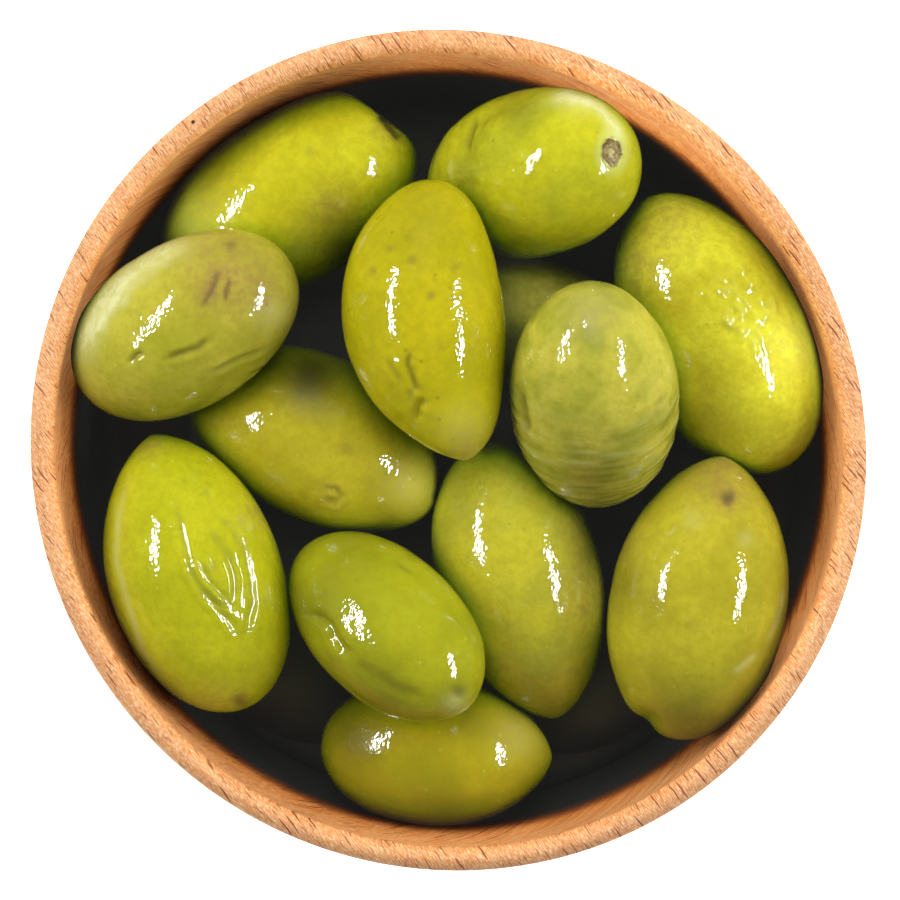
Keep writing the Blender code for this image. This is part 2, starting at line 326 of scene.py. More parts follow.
def beech():
    material, tree, skin = newMaterial("beech")
    place = millimetres(tree, -bowl["grainAngle"])        # x along the grain
    x, y, z = addNode(tree, "ShaderNodeSeparateXYZ", {0: place}).outputs
    # the bowl's painted light and shade, laid on its points: how lit the wall is, how far in its painted
    # tints reach, and its painted glow
    shade = addNode(tree, "ShaderNodeAttribute", attribute_name="marksAndShading")
    split = addNode(tree, "ShaderNodeSeparateColor", {0: shade.outputs["Color"]})
    wallLight, wallPaintedTint = split.outputs[:2]
    belowRim = maths(tree, "MINIMUM", maths(tree, "SUBTRACT", z, bowl["height"] - 1.6), 0.0)
    across = maths(tree, "ADD", y, times(tree, belowRim, 0.6))

    def grainPlace(longScale, crossScale, waver=0.0):
        bend = times(tree, maths(tree, "SUBTRACT", noise(tree, place, 0.45, 1.0), 0.5), waver)
        wavy = times(tree, maths(tree, "ADD", across, bend), crossScale)
        return addNode(tree, "ShaderNodeCombineXYZ", {0: times(tree, x, longScale), 1: wavy}).outputs[0]

    # short strokes along the grain, one to a cell of long by cross millimetres
    def dashes(long, cross, lowest, highest, softness, waver):
        feeds = {"Vector": grainPlace(1 / long, 1 / cross, waver), "Scale": 1.0}
        cells = addNode(tree, "ShaderNodeTexVoronoi", feeds, voronoi_dimensions="2D", feature="F1")
        chosen = addNode(tree, "ShaderNodeSeparateColor", {0: cells.outputs["Color"]}).outputs[0]
        reach = ramp(tree, chosen, 0.0, 1.0, lowest, highest)
        return ramp(tree, maths(tree, "SUBTRACT", reach, cells.outputs["Distance"]), 0.0, softness)

    vessels = dashes(8.5, 0.60, 0.04, 0.19, 0.05, 0.35)
    flecks = dashes(3.8, 0.38, -0.04, 0.20, 0.07, 0.3)
    streaks = noise(tree, grainPlace(0.5, 5.0), 1.0, 2.0, 0.6)
    bands = noise(tree, grainPlace(0.04, 0.5), 1.0, 2.0, 0.5)
    speckle = noise(tree, grainPlace(1.5, 7.0), 1.0, 2.0, 0.8)
    radius = vectors(tree, "LENGTH", place)["Value"]
    endGrain = ramp(tree, maths(tree, "DIVIDE", maths(tree, "ABSOLUTE", x), radius), 0.55, 0.85)
    torn = dashes(1.6, 0.28, -0.05, 0.24, 0.08, 0.8)

    colour = mixColour(tree, ramp(tree, bands, 0.3, 0.7), bowl["light"], bowl["dark"])
    colour = mixColour(tree, ramp(tree, streaks, 0.48, 0.75, 0.0, 0.5), colour, bowl["warm"])
    colour = mixColour(tree, ramp(tree, streaks, 0.45, 0.25, 0.0, 0.4), colour, bowl["pale"])
    colour = mixColour(tree, ramp(tree, speckle, 0.52, 0.64, 0.0, 0.9), colour, bowl["warm"])
    colour = mixColour(tree, ramp(tree, speckle, 0.48, 0.36, 0.0, 0.75), colour, bowl["pale"])
    colour = mixColour(tree, times(tree, torn, times(tree, endGrain, 0.7)), colour, bowl["pale"])
    colour = mixColour(tree, times(tree, flecks, 0.7), colour, bowl["vessel"])
    colour = mixColour(tree, times(tree, vessels, 0.95), colour, bowl["vessel"])
    # painted light and shade on the inner wall: lifted near the rim, warmed lower, deepened where it is
    # least lit
    raised = tinted(tree, colour, bowl["upperTint"])
    warmed = tinted(tree, colour, bowl["wallTint"])
    deepened = tinted(tree, colour, bowl["deepTint"])
    colour = mixColour(tree, ramp(tree, wallPaintedTint, 0.0, 0.3), colour, raised)
    colour = mixColour(tree, ramp(tree, wallPaintedTint, 0.3, 1.0), colour, warmed)
    colour = mixColour(tree, ramp(tree, wallLight, 0.90, 0.35), colour, deepened)
    # the centre-pin hole: sunk in the bump, with painted shade in it
    off = vectors(tree, "DISTANCE", onPlan(tree), (*bowl["pin"], 0))["Value"]
    hole = ramp(tree, off, bowl["pinRadius"] * 1.3, bowl["pinRadius"] * 0.8)
    colour = mixColour(tree, hole, colour, srgb(60, 34, 24))
    path = addNode(tree, "ShaderNodeLightPath").outputs
    colour = mixColour(tree, times(tree, path["Is Diffuse Ray"], 0.65), colour, bowl["bounced"])
    # painted shade: the wall goes to near black where it is least lit; painted light: the wall and rim give
    # out a glow seen only by the camera
    colour = mixColour(tree, ramp(tree, wallLight, 0.02, 0.75), gapShadeBlack, colour)
    sent = mixColour(tree, ramp(tree, wallLight, 0.0, 0.35), gapPaintedGlow, (0, 0, 0, 1))
    sent = mixColour(tree, shade.outputs["Alpha"], sent, colour)
    sent = mixColour(tree, path["Is Camera Ray"], (0, 0, 0, 1), sent)
    height = maths(tree, "ADD", times(tree, streaks, 0.03), times(tree, speckle, 0.05))
    sunk = maths(tree, "ADD", times(tree, vessels, 0.02), times(tree, hole, 0.3))
    height = maths(tree, "SUBTRACT", height, sunk)
    height = maths(tree, "ADD", height, times(tree, times(tree, torn, endGrain), 0.05))
    bump = addNode(tree, "ShaderNodeBump", {"Height": height, "Distance": 0.001, "Strength": 1.0})
    feed(tree, skin, {"Base Color": colour, "Roughness": 0.62, "Specular IOR Level": 0.25,
                      "Emission Color": sent, "Emission Strength": 1.0, "Normal": bump.outputs[0]})
    material.cycles.emission_sampling = "NONE"    # it is seen but lights nothing
    return material


def makeBowl():
    profile = bowlProfile()
    sides = bowl["sides"]
    angle = np.linspace(0, 2 * math.pi, sides, endpoint=False)
    radius, height, inner = (np.repeat(column, sides) for column in profile.T)
    spin = np.tile(angle, len(profile))
    radius = radius - bowl["turningMarks"] * (0.5 + 0.5 * np.sin(height * 7.0)) * (1 - inner)
    flat = np.stack([radius * np.cos(spin), radius * np.sin(spin)], axis=1) @ ovalTurn().T
    points = np.column_stack([flat, height])
    # painted shade down the inner wall, and how far in from the rim the wall's painted tints reach
    light = np.where(inner > 0, smooth(height, bowl["shadeFrom"], bowl["shadeTo"]), 1.0)
    middle = bowl["rimRadius"] - bowl["rimHalfWidth"]
    within = (inner > 0) | ((height > bowl["shoulder"]) & (radius < middle))
    paintedTintMask = np.where(within, smooth(radius, middle + 0.1, middle - 3.2), 0.0)
    down = np.gradient(profile[:, :2], axis=0)
    down /= np.linalg.norm(down, axis=1)[:, None]
    sideways, upward = (np.repeat(column, sides) for column in (down[:, 1], -down[:, 0]))
    facing = np.column_stack([sideways * np.cos(spin), sideways * np.sin(spin), upward])
    # painted light: a glow on the rim where the olives shut light out, and on the wall in the given
    # directions
    first = bowl["sideSteps"] + 6
    there = slice(first * sides, None)
    shut = 0 * height
    shut[there] = 1 - openSky(points[there], facing[there], len(profile) - first - 1, sides, False, 3)
    onRim = smooth(height, 45.6, 47.0)
    glow = onRim * shut * bowl["rimGlow"]
    azimuth = np.degrees(np.arctan2(flat[:, 1], flat[:, 0]))
    for toward, spread, strength in bowl["wallGlows"]:
        off = (azimuth - toward + 180) % 360 - 180
        glow += strength * np.exp(-((off / spread) ** 2)) * smooth(height, 28.0, 37.0) * (1 - 0.6 * onRim)
    glow = np.where(within, glow, 0.0)
    marksAndShading = np.column_stack([light, paintedTintMask, np.zeros_like(glow), glow])
    marksAndShading = np.vstack([marksAndShading, (1, 0, 0, 0), (0, 0, 0, 0)])
    points = np.vstack([points, (0, 0, 0), (0, 0, bowl["floorHeight"])])
    faces = closedRings(len(profile), sides, len(points) - 2, len(points) - 1)
    piece = newPiece("turnedBowl", points * mm, faces, beech(), marksAndShading)
    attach(piece, "root")
    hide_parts("bowl")
    return piece


# a few fibres that the turning tool tore up, lying on the rim
def makeTornFibres():
    sides, steps = 6, 9
    pale, tree, skin = newMaterial("tornFibre")
    feed(tree, skin, {"Base Color": bowl["pale"], "Roughness": 0.6})
    allPoints, faces, count = [], [], 0
    middle = bowl["rimRadius"] - bowl["rimHalfWidth"]
    for path in bowl["hairs"]:
        corners = range(len(path))
        reached = np.linspace(0, len(path) - 1, steps)
        flat = np.stack([np.interp(reached, corners, column) for column in np.array(path).T], axis=1)
        off = np.linalg.norm(flat @ np.linalg.inv(ovalTurn()).T, axis=1) - middle
        rise = np.sqrt(np.clip(1 - (off / bowl["rimHalfWidth"]) ** 2, 0.02, 1))
        height = bowl["height"] - bowl["rimRounding"] * (1 - rise) + 0.02
        ahead = np.gradient(flat, axis=0)
        ahead /= np.linalg.norm(ahead, axis=1)[:, None]
        sideward = np.column_stack([-ahead[:, 1], ahead[:, 0]])
        thin = bowl["hairRadius"] * np.sin(np.linspace(0.25, math.pi - 0.25, steps))
        for spin in np.linspace(0, 2 * math.pi, sides, endpoint=False):
            shifted = flat + np.outer(thin * math.cos(spin), (1, 1)) * sideward
            allPoints.append(np.column_stack([shifted, height + thin * math.sin(spin)]))
        for side in range(sides):
            low, high = count + side * steps, count + (side + 1) % sides * steps
            faces += [(low + i, high + i, high + i + 1, low + i + 1) for i in range(steps - 1)]
        count += sides * steps
    piece = newPiece("tornFibres", np.vstack(allPoints) * mm, faces, pale)
    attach(piece, "root")
    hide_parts("bowl")
    return piece


# Olives. Lengths are millimetres, angles degrees. at is the olive's middle, turn the way its tip points
# on the plan, lift how far the tip is raised. Marks lie at offsets from the middle, seen from above.
# Spots with a painted glow, standing in for light on the skin, are listed as x, y, reach and strength.

heap = {
    "rings": 150, "sides": 150, "topCrowding": 0.4, "stemBluntness": 2.2, "wallGap": 0.4,
    "lowerRings": 60, "lowerSides": 60, "coreEdge": 24.0, "coreCrown": 30.0,
    "lumpSize": 6.5, "lumpDepth": 0.14, "rippleSize": 2.2, "rippleDepth": 0.05,
    "flatSoftness": 0.9, "skyRays": 44, "skyReach": 80.0,
    "shade": (17.0, 32.0), "shadeTint": (0.50, 0.78, 0.58, 1), "scarReach": (1.25, 1.8),
    "dropRadius": (0.10, 0.22), "strayDrops": 18,
    "drops": [(-14.4, -0.9), (25.2, -4.5), (8.2, 23.3), (-26.5, -2.3), (-24.1, -4.9), (-12.1, -10.3),
              (-9.9, -10.3), (-16.1, -26.1)],
}

# depth below the skin, raised shoulders, then how brown, pale and dark the mark is; the dark in creases,
# wrinkles, folds and valleys is painted shade in the groove, and the pale edge band is a painted sheen
strokeKinds = {
    "crease": (0.30, 0.12, 0.10, 0.00, 0.45),
    "wrinkle": (0.20, 0.14, 0.00, 0.05, 0.20),
    "fold": (0.38, 0.06, 0.00, 0.00, 0.18),
    "slit": (0.16, 0.04, 0.80, 0.00, 0.45),
    "gash": (0.20, 0.06, 0.55, 0.00, 0.80),
    "ridge": (-0.22, 0.00, 0.00, 0.12, 0.00),
    "bloom": (-0.03, 0.00, 0.00, 0.75, 0.00),
    "line": (0.04, 0.02, 0.00, 0.35, 0.00),
    "valley": (0.28, 0.06, 0.00, 0.00, 0.06),
    "welt": (-0.30, -0.05, 0.00, 0.08, 0.00),
}
# depth, then how brown, pale and dark the spot is; the dark kind is painted shade, mostly where neighbours
# and the wall shut light out
spotKinds = {
    "brown": (0.00, 0.60, 0.00, 0.00), "pale": (0.00, 0.00, 0.55, 0.00), "scar": (0.10, 0.45, 0.00, 0.75),
    "dent": (1.00, 0.00, 0.00, 0.00), "bump": (-0.20, 0.00, 0.00, 0.00), "speck": (0.02, 0.35, 0.00, 0.30),
    "dark": (0.00, 0.00, 0.00, 1.00),
}

upperOlives = {
    "oliveA": {
        "at": (-20.0, 31.4, 33.0), "turn": -150, "lift": -7, "length": 34.8, "width": 21.0, "tip": 0.54,
        "bow": 0.6, "blunt": 2.8, "skin": (204, 200, 36), "second": (188, 182, 26),
        "lit": [(-12.0, -3.0, 7.5, 0.34)],
        "flats": [((0.6, 0.8, 0.0), 15.0)],
        "strokes": [("gash", 0.5, [(11.4, 9.9), (12.5, 8.5), (13.4, 7.4), (14.2, 6.4)])],
        "spots": [
            ("brown", 5.8, -1.8, 2.6, 0.7), ("brown", 12.6, 8.2, 1.8, 0.9),
            # the pale spot at the left end is painted light
            ("speck", 3.0, 5.0, 0.5, 0.5), ("pale", -11.5, -3.0, 4.5, 0.3),
            ("dark", 7.5, -6.5, 4.4, 0.6),
        ],
    },
    "oliveB": {
        "at": (-32.2, 15.2, 44.0), "turn": 31, "lift": 20, "length": 31.0, "width": 20.2, "tip": 0.45,
        "skin": (186, 178, 58), "second": (168, 166, 44),
        "strokes": [
            ("slit", 0.32, [(4.5, 6.6), (3.9, 4.4), (3.2, 3.1), (2.2, 1.8)]),
            ("slit", 0.26, [(5.8, 5.4), (5.5, 4.2), (5.3, 2.6)]),
            ("crease", 0.38, [(3.4, -1.7), (2.1, -2.9), (-0.2, -3.6), (-2.0, -4.3)]),
            ("crease", 0.3, [(-4.7, -3.4), (-5.6, -3.8), (-6.2, -4.7)]),
            ("wrinkle", 0.28, [(9.9, -3.1), (7.0, -4.1), (3.3, -5.9)]),
            ("wrinkle", 0.22, [(10.4, -5.0), (8.0, -6.2)]),
            ("bloom", 1.8, [(-12.6, -6.0), (-12.2, -2.0), (-10.4, 1.6), (-7.0, 5.8), (-3.1, 8.9),
                (1.7, 10.5)]),
            ("bloom", 0.8, [(-11.6, -1.6), (-9.4, 2.4), (-6.4, 5.9)]),
        ],
        "spots": [
            ("brown", 5.0, 6.6, 5.6, 0.95), ("brown", 9.5, 4.0, 4.0, 0.6),
            ("speck", 5.9, 9.6, 0.7, 1.0), ("brown", 3.4, 3.6, 1.6, 0.6), ("pale", 11.0, 1.2, 2.0, 0.5),
        ],
    },
    "oliveC": {
        "at": (-0.4, 15.8, 48.2), "turn": -81.5, "lift": 2, "length": 34.4, "width": 19.8, "tip": 0.66,
        "bow": -2.6, "skin": (188, 176, 20), "second": (176, 168, 16), "lit": [(1.0, -12.5, 8.0, 0.24)],
        "specks": 0.5,
        "strokes": [
            ("crease", 0.36, [(-4.2, -3.8), (-4.5, -5.5), (-4.0, -6.9), (-3.5, -8.2), (-2.8, -8.8)]),
            ("wrinkle", 0.34, [(-3.5, -8.2), (-4.2, -9.2), (-4.2, -10.2)], [(-7.0, -5.0), (-6.0, -6.6),
                (-5.2, -7.9)]),
            ("fold", 0.6, [(-2.4, -9.6), (-3.4, -11.0), (-3.2, -12.6)]),
        ],
        "spots": [
            ("dark", -2.0, 12.0, 5.0, 0.22), ("speck", -6.6, 8.5, 0.5, 0.7),
            ("speck", -4.0, 7.0, 0.5, 0.8), ("speck", -4.5, 9.8, 0.5, 0.6),
            ("speck", 1.1, 6.1, 0.6, 0.7), ("speck", -1.7, 2.8, 0.5, 0.8),
            ("speck", -8.7, 5.8, 0.5, 0.6), ("speck", 1.0, 2.4, 0.5, 0.6),
            ("speck", -0.4, -3.3, 0.5, 0.6), ("brown", 2.4, -16.6, 2.6, 0.7),
            # the pale spot near the tip is painted light
            ("dent", 7.2, -7.0, 4.5, 0.35), ("pale", 2.2, -13.4, 3.2, 0.2),
        ],
    },
    "oliveD": {
        "at": (10.3, 33.8, 41.0), "turn": -168, "lift": -46, "length": 31.6, "width": 20.4, "tip": 0.52,
        "skin": (195, 192, 32), "second": (178, 180, 36), "stemScar": (9.4, 2.1),
        "strokes": [
            ("valley", 1.5, [(-7.2, 6.6), (-8.2, 3.0), (-8.4, 0.4), (-7.9, -3.8)]),
            ("valley", 1.1, [(-7.4, 6.0), (-8.3, 2.8), (-8.4, 0.4), (-8.0, -3.0)]),
            ("crease", 0.3, [(-7.0, 7.0), (-8.0, 4.6), (-8.3, 2.6)]),
            ("valley", 0.9, [(-7.9, 5.2), (-5.4, 7.0), (-3.1, 8.2)]),
            ("bloom", 0.8, [(1.4, 8.4), (4.1, 9.1), (7.6, 7.9), (9.9, 5.2), (11.1, 2.2)]),
        ],
        "spots": [
            ("scar", 9.4, 1.9, 1.25, 1.0), ("pale", 9.6, 4.4, 1.2, 0.5), ("pale", 5.0, 8.6, 2.0, 0.5),
            ("dark", -1.6, 7.4, 3.2, 0.4), ("dark", -10.5, -0.5, 3.6, 0.25),
        ],
    },
    "oliveE": {
        "at": (33.0, 14.4, 37.5), "turn": 117, "lift": 2, "length": 37.2, "width": 21.8, "tip": 0.53,
        "skin": (208, 203, 48), "second": (192, 182, 38), "lit": [(9.6, -3.2, 10.5, 0.68)],
        "strokes": [
            ("welt", 0.34, [(1.0, 7.7), (1.8, 6.0), (1.9, 5.0), (2.6, 4.3), (3.4, 3.2), (4.6, 2.2)],
                [(1.8, 5.3), (0.7, 5.1), (0.2, 4.7), (0.5, 4.2)], [(1.7, 3.5), (2.7, 2.4), (2.4, 1.2)],
                [(3.3, 6.2), (3.8, 5.2)], [(2.4, 7.5), (3.0, 7.4)], [(4.6, 4.1), (5.7, 2.6),
                (5.7, 1.9), (5.0, 1.1)], [(0.1, 2.1), (1.0, 0.9), (2.5, 0.1), (3.4, 0.5)]),
            ("welt", 0.4, [(3.8, 1.0), (5.0, -0.7), (5.3, -2.0)]),
            ("welt", 0.34, [(3.6, -0.4), (4.2, -1.9), (4.1, -3.0)], [(-0.6, 6.2), (0.2, 6.6),
                (0.9, 6.1)], [(6.2, 4.6), (6.6, 3.0), (6.3, 1.6)], [(1.0, 3.0), (0.8, 1.9),
                (1.6, 1.5)]),
        ],
        "spots": [
            ("brown", -11.0, 8.0, 4.4, 0.8), ("brown", -6.0, 14.5, 4.0, 0.6),
            # the pale spot on the right flank is painted light
            ("pale", 9.4, -1.5, 4.0, 0.2),
        ],
        "blisters": [
            (-0.1, 7.8), (-1.8, 7.2), (-1.6, 4.5), (0.0, 4.8), (4.4, 2.1), (4.5, 6.0), (1.9, 9.0),
            (2.6, 7.2), (3.5, 5.9), (1.8, 3.9), (4.8, 3.9), (0.4, 1.2), (2.6, -0.2), (5.4, 2.0),
        ],
    },
    "oliveF": {
        "at": (8.6, 16.4, 31.0), "turn": 170, "lift": 5, "length": 27.0, "width": 15.8, "tip": 0.5,
        "skin": (222, 190, 84), "second": (200, 172, 70),
        "spots": [("brown", -2.0, 3.0, 3.0, 0.5)],
    },
    "oliveG": {
        "at": (17.7, 6.9, 46.8), "turn": 94, "lift": 40, "length": 31.4, "width": 20.6, "tip": 0.54,
        "skin": (198, 190, 72), "second": (164, 166, 56), "blotch": 4.5, "wrinkled": (-1.05, 0.45, 0.085),
        "strokes": [
            ("crease", 0.4, [(-9.0, 0.3), (-8.6, -1.6), (-8.2, -3.7), (-8.1, -5.2)]),
            ("wrinkle", 0.45, [(8.2, -0.6), (7.4, -2.0), (6.9, -3.0)]),
            ("ridge", 0.7, [(-1.2, 10.0), (-0.8, 8.0), (0.2, 5.0)]),
        ],
        "spots": [
            ("pale", -0.6, 9.6, 3.0, 0.35), ("pale", 7.5, 1.0, 2.2, 0.1),
            ("dark", 0.0, -12.0, 6.0, 0.42), ("dark", -0.6, 10.0, 4.0, 0.35),
        ],
    },
    "oliveH": {
        "at": (-16.3, 0.5, 34.0), "turn": -25, "lift": 4, "length": 33.0, "width": 20.4, "tip": 0.58,
        "bow": 1.0, "skin": (190, 178, 40), "second": (176, 165, 35),
        "lit": [(14.0, -6.0, 7.0, 0.46), (4.4, -8.4, 5.0, 0.14)], "shade": (8.0, 22.0),
        "strokes": [
            ("wrinkle", 0.32, [(0.9, -5.6), (1.6, -5.2), (2.6, -5.4), (3.2, -6.2), (2.4, -7.0),
                (1.2, -6.8)]),
        ],
        "spots": [
            # the pale spot at the right end is painted light
            ("brown", 1.9, -6.1, 1.4, 0.5), ("pale", 11.5, -4.5, 3.2, 0.4),
            ("speck", 3.8, -0.4, 0.9, 0.5), ("dark", -0.5, 8.8, 4.4, 0.95),
        ],
    },
    "oliveI": {
        "at": (-30.8, -15.0, 39.0), "turn": 108, "lift": 4, "length": 35.6, "width": 21.5, "tip": 0.66,
        "bow": 0.4, "skin": (192, 190, 30), "second": (178, 180, 24),
        "strokes": [
            ("wrinkle", 0.38, [(-2.2, 8.8), (-1.7, 6.1), (-1.3, 4.2), (-0.4, 0.3), (1.3, -2.7),
                (4.3, -5.8), (5.9, -8.1)], [(1.9, 8.8), (2.6, 7.4), (4.1, 5.8), (5.9, 3.3),
                (6.8, -1.1), (7.1, -3.4), (6.6, -5.8), (6.4, -8.1)]),
            ("wrinkle", 0.34, [(1.5, 6.0), (3.6, 2.9), (4.4, 1.0), (4.9, -0.7), (4.7, -4.1)],
                [(0.4, 2.1), (1.7, -0.7), (3.6, -2.7), (4.5, -4.2)]),
            ("wrinkle", 0.3, [(1.0, -1.5), (2.4, -3.4), (4.4, -4.3)], [(2.1, 1.7), (2.6, 0.3)],
                [(0.6, 9.4), (1.3, 9.8), (1.9, 9.3)]),
            ("line", 0.45, [(-8.2, 11.4), (-9.3, 7.7), (-9.7, 1.7), (-8.4, -3.2), (-6.6, -9.3),
                (-3.6, -14.1)]),
        ],
        "spots": [
            ("brown", -5.6, 16.4, 2.4, 0.8), ("brown", 7.8, 7.5, 2.4, 0.7),
            ("scar", 5.4, -15.7, 0.9, 0.8), ("brown", 3.0, -15.5, 2.4, 0.4),
        ],
    },
    "oliveJ": {
        "at": (-7.6, -21.5, 42.4), "turn": 138, "lift": -22, "length": 29.2, "width": 18.2, "tip": 0.5,
        "skin": (164, 165, 28), "second": (148, 152, 26),
        "strokes": [
            ("fold", 0.55, [(-9.6, 1.6), (-8.0, 1.2), (-6.7, 0.3), (-6.1, -1.2), (-5.0, -2.6),
                (-4.1, -3.7)]),
            ("valley", 0.8, [(-4.1, -3.7), (-1.6, -6.0), (1.6, -7.6), (5.0, -8.6)]),
            ("wrinkle", 0.35, [(1.5, 7.9), (3.3, 6.7)]),
        ],
        "spots": [
            ("dent", 8.6, -7.9, 1.0, 0.45), ("bump", 9.0, -8.2, 3.0, 1.6),
            ("scar", 8.6, -7.9, 0.8, 0.45), ("dark", -4.0, 9.5, 3.6, 0.3),
            ("dark", 0.0, -8.5, 4.0, 0.3), ("dark", -9.6, 3.0, 3.5, 0.4), ("pale", 8.4, -9.3, 1.5, 0.7),
        ],
    },
    "oliveK": {
        "at": (8.9, -16.0, 34.8), "turn": -75, "lift": -6, "length": 35.6, "width": 20.4, "tip": 0.66,
        "skin": (190, 183, 46), "second": (172, 170, 52), "lit": [(9.0, -2.2, 6.0, 0.28)],
        "spots": [
            ("brown", 7.4, 11.4, 2.8, 1.0), ("brown", 8.6, 7.0, 3.0, 1.0),
            ("brown", 9.2, 1.5, 3.2, 0.8), ("brown", 8.2, -3.5, 3.0, 0.7),
            ("dark", 3.0, -15.0, 4.0, 0.4),
        ],
    },
    "oliveL": {
        "at": (30.7, -18.1, 39.9), "turn": 80, "lift": 6, "length": 35.4, "width": 21.8, "tip": 0.66,
        "skin": (186, 176, 44), "second": (170, 160, 38),
        "strokes": [
            ("line", 0.4, [(3.8, -9.0), (5.4, -7.8), (6.9, -6.6)]),
            ("line", 0.35, [(8.0, -5.6), (9.4, -2.6), (10.2, 1.4)]),
        ],
        "spots": [
            ("brown", 2.6, 15.5, 4.6, 1.0), ("scar", 3.3, 12.4, 0.85, 0.8),
            ("brown", 3.3, 12.0, 1.2, 1.0), ("dent", 3.3, 12.2, 1.0, 0.22),
            ("brown", -9.6, 7.0, 3.0, 0.5), ("dent", -6.7, -15.4, 1.8, 0.8),
            ("dark", -1.0, -14.8, 5.0, 0.6), ("dark", -10.0, 1.0, 3.6, 0.4),
            ("speck", -1.3, -3.0, 0.9, 0.5), ("pale", 5.4, 7.2, 1.0, 0.4),
            ("pale", -1.2, 9.6, 1.2, 0.3),
        ],
    },
    "oliveM": {
        "at": (-1.5, -37.2, 32.0), "turn": -3, "lift": 6, "length": 28.8, "width": 18.4, "tip": 0.62,
        "skin": (178, 164, 28), "second": (158, 150, 24), "lit": [(9.5, 1.0, 5.5, 0.2)],
        "spots": [
            ("brown", 9.0, 3.0, 3.0, 0.5), ("pale", 10.5, 2.0, 3.0, 0.2),
            ("dark", -10.5, 2.0, 4.0, 0.6), ("dark", 0.0, -7.5, 4.0, 0.4),
        ],
    },
}

# the ones beneath, glimpsed between the others
lowerOlives = {
    "N": {"at": (-21.0, -25.5, 21.0), "turn": 140, "lift": 3, "length": 30.0, "width": 18.6},
    "O": {"at": (20.0, -26.5, 22.0), "turn": 37, "lift": 4, "length": 30.0, "width": 18.6},
    "P": {"at": (31.8, -0.5, 22.0), "turn": 88, "lift": 0, "length": 29.0, "width": 18.6},
    "Q": {"at": (15.0, 29.0, 21.5), "turn": -27, "lift": 3, "length": 30.0, "width": 18.6},
    "R": {"at": (-14.5, 26.0, 18.5), "turn": 30, "lift": 0, "length": 29.0, "width": 17.6},
    "S": {"at": (2.0, -2.0, 18.5), "turn": 165, "lift": 0, "length": 32.0, "width": 19.0},
    "T": {"at": (-32.5, 3.5, 21.5), "turn": 94, "lift": 0, "length": 29.0, "width": 18.2},
}
lowerLook = {"tip": 0.60, "skin": (150, 156, 48), "second": (130, 140, 42), "shade": (23, 44)}


# where the stem was: a torn brown star in a shallow dimple with a pale ring, seen from above
def paintScar(tree, colour, height, look):
    x, y = look["at"][0] + look["stemScar"][0], look["at"][1] + look["stemScar"][1]
    wide, tall = heap["scarReach"]
    place = millimetres(tree)
    near = vectors(tree, "SUBTRACT", place, (x, y, 0))[0]
    near = vectors(tree, "MULTIPLY", near, (1 / wide, 1 / tall, 0))[0]
    gap = vectors(tree, "LENGTH", near)["Value"]
    towardBack = addNode(tree, "ShaderNodeSeparateXYZ", {0: near}).outputs[1]
    wander = maths(tree, "SUBTRACT", noise(tree, place, 1.3, 3.0, 0.6), 0.5)
    ragged = maths(tree, "ADD", gap, times(tree, wander, 0.6))
    patches = ramp(tree, noise(tree, place, 0.9, 2.0), 0.45, 0.62)
    colour = mixColour(tree, ramp(tree, gap, 2.0, 1.25, 0.0, 0.55), colour, srgb(196, 202, 104))
    torn = ramp(tree, ragged, 1.05, 0.85)
    colour = mixColour(tree, torn, colour, srgb(150, 132, 62))
    edge = times(tree, ramp(tree, ragged, 0.55, 0.85), torn)
    edge = times(tree, edge, ramp(tree, towardBack, -0.7, 0.5, 0.35, 1.0))
    colour = mixColour(tree, times(tree, edge, 0.9), colour, srgb(84, 64, 30))
    colour = mixColour(tree, times(tree, torn, patches), colour, srgb(118, 98, 46))
    colour = mixColour(tree, ramp(tree, ragged, 0.38, 0.2), colour, srgb(176, 160, 88))
    dip = times(tree, ramp(tree, ragged, 1.2, 0.75), 0.35)
    rough = times(tree, times(tree, torn, noise(tree, place, 2.2, 3.0)), 0.3)
    return colour, maths(tree, "ADD", maths(tree, "SUBTRACT", height, dip), rough)


